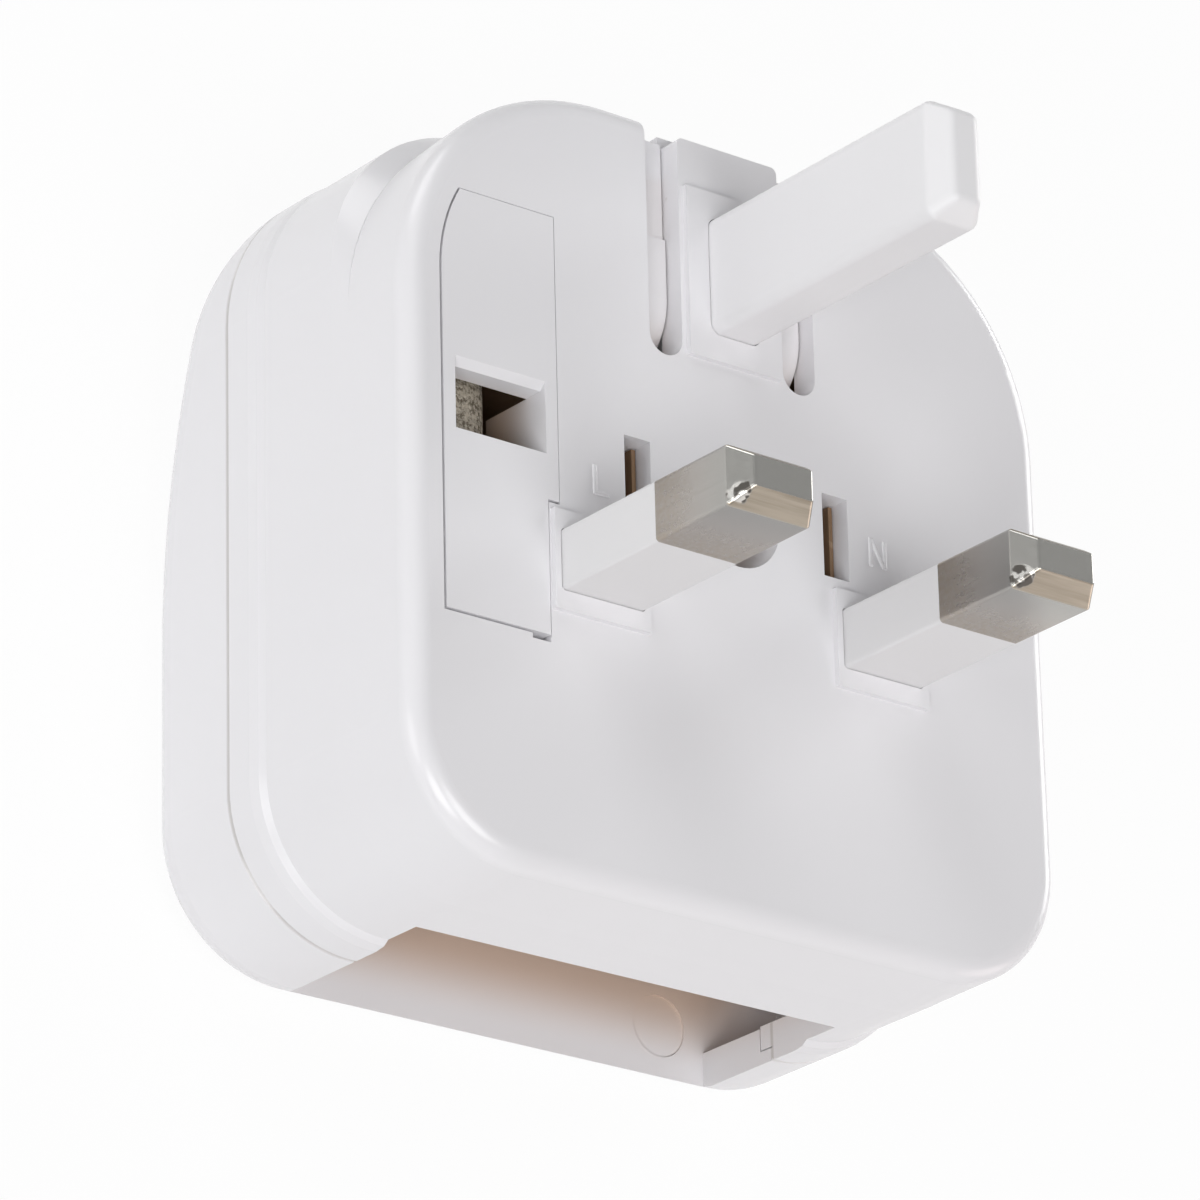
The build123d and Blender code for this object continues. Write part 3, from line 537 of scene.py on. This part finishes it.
# painted shade: the ceramic's mottle drawn in dark khaki tones
clay_colour = colour_mix(clay, mottle, (0.15, 0.125, 0.09), (0.55, 0.49, 0.40))
grit_scale = 5200.0
pale_grit = ramp_of(clay, noise_of(clay, clay_place, grit_scale, 1.0, 0.6), 0.6, 0.72)
clay_colour = colour_mix(clay, value_of(clay, "MULTIPLY", pale_grit, 0.6), clay_colour, (0.76, 0.72, 0.62))
clay.links.new(clay_colour, clay_shader.inputs["Base Color"])
clay_rough = value_of(clay, "SUBTRACT", 0.72, value_of(clay, "MULTIPLY", mottle, 0.2))
clay.links.new(clay_rough, clay_shader.inputs["Roughness"])
grit_height = 0.02 * MM
raise_surface(clay, clay_shader, value_of(clay, "ADD", mottle, pale_grit), grit_height)
dress("fuse_tube", ceramic)
cap_plate = rolled_metal(
    "cap plate",
    colour=(0.66, 0.64, 0.60),
    stain_colour=(0.46, 0.41, 0.34),
    stain_scale=300.0,
    amount=0.2,
    patina=0.1,
    roughness=0.24,
    lines=(1500.0, 120.0, 1500.0),
)
for cap in ("fuse_cap_upper", "fuse_cap_lower"):
    dress(cap, cap_plate)

# Fuse carrier: a thin panel with a window, moulded in the same plastic as the case. It is pushed into the
# pin face with the fuse between its cheeks, and comes out along the pins.
dress("fuse_carrier", case_white)

# Floor: a wide plain white sheet that the plug lies on. It looks white to the camera and in reflections,
# and keeps a soft part of the plug's shadow.
floor_mesh = bpy.data.meshes.new("floor")
floor_half = 3.0
floor_corners = [(x * floor_half, y * floor_half, 0.0) for x, y in ((-1, -1), (1, -1), (1, 1), (-1, 1))]
floor_mesh.from_pydata(floor_corners, [], [(0, 1, 2, 3)])
floor = bpy.data.objects.new("floor", floor_mesh)
scene.collection.objects.link(floor)
floor_white, sheet, sheet_shader = new_material("floor white")
paper = noise_of(sheet, sheet.nodes.new("ShaderNodeTexCoord").outputs["Object"], 40.0, 3.0, 0.5)
paper_colour = colour_mix(sheet, paper, (0.89, 0.89, 0.89), (0.91, 0.91, 0.91))
sheet.links.new(paper_colour, sheet_shader.inputs["Base Color"])
sheet_shader.inputs["Roughness"].default_value = 0.9
glow = sheet.nodes.new("ShaderNodeEmission")
glow.inputs["Strength"].default_value = 1.0
seen_as = sheet.nodes.new("ShaderNodeLightPath")
seen = value_of(sheet, "MAXIMUM", seen_as.outputs["Is Camera Ray"], seen_as.outputs["Is Glossy Ray"])
seen = value_of(sheet, "MAXIMUM", seen, seen_as.outputs["Is Transmission Ray"])
white_share = 0.94
seen = value_of(sheet, "MULTIPLY", seen, white_share)
floor_mix = sheet.nodes.new("ShaderNodeMixShader")
sheet.links.new(seen, floor_mix.inputs[0])
sheet.links.new(sheet_shader.outputs[0], floor_mix.inputs[1])
sheet.links.new(glow.outputs[0], floor_mix.inputs[2])
sheet.links.new(floor_mix.outputs[0], sheet.nodes["Material Output"].inputs["Surface"])
floor_mesh.materials.append(floor_white)

# Studio light: a pale room that lights little by itself and shows in the metal, and wide soft boxes. The
# strongest stands below the picture on the live side, so the pins' shadows fall towards the earth pin.
world = bpy.data.worlds.new("studio")
scene.world = world
world.use_nodes = True
room = world.node_tree
backdrop = room.nodes["Background"]
backdrop.inputs["Color"].default_value = (1.0, 1.0, 1.0, 1.0)
room_seen = room.nodes.new("ShaderNodeLightPath")
in_metal = room_seen.outputs["Is Glossy Ray"]
through_glass = room_seen.outputs["Is Transmission Ray"]
mirror_level = 0.52
mirrored = value_of(room, "MAXIMUM", in_metal, through_glass)
mirrored = value_of(room, "MULTIPLY", mirrored, mirror_level)
shown = value_of(room, "MAXIMUM", room_seen.outputs["Is Camera Ray"], mirrored)
fill_level = 0.04
shown = value_of(room, "MAXIMUM", shown, fill_level)
room.links.new(shown, backdrop.inputs["Strength"])
box_width = 0.45
box_distance = 0.8
aim_point = Vector((0.0, 0.0, 0.015))


def soft_box(name, towards, power, colour=(1.0, 1.0, 1.0)):
    lamp = bpy.data.lights.new(name, "AREA")
    lamp.shape = "DISK"
    lamp.size = box_width
    lamp.energy = power
    lamp.color = colour
    stand = bpy.data.objects.new(name, lamp)
    scene.collection.objects.link(stand)
    aim = Vector(towards).normalized()
    stand.location = aim_point + aim * box_distance
    stand.rotation_mode = "QUATERNION"
    stand.rotation_quaternion = aim.to_track_quat("Z", "Y")


soft_box("left box", (-0.974, 0.0, 0.225), 1.1)
soft_box("key box", (-0.579, -0.579, 0.574), 2.5)
soft_box("high box", (0.0, -0.423, 0.906), 2.5)
soft_box("far box", (-0.447, 0.878, 0.174), 1.7)
soft_box("over box", (-0.458, 0.679, 0.574), 0.45)
soft_box("right box", (0.893, 0.416, 0.174), 2.7)
soft_box("low box", (0.853, -0.492, 0.174), 1.15, (1.0, 0.87, 0.85))
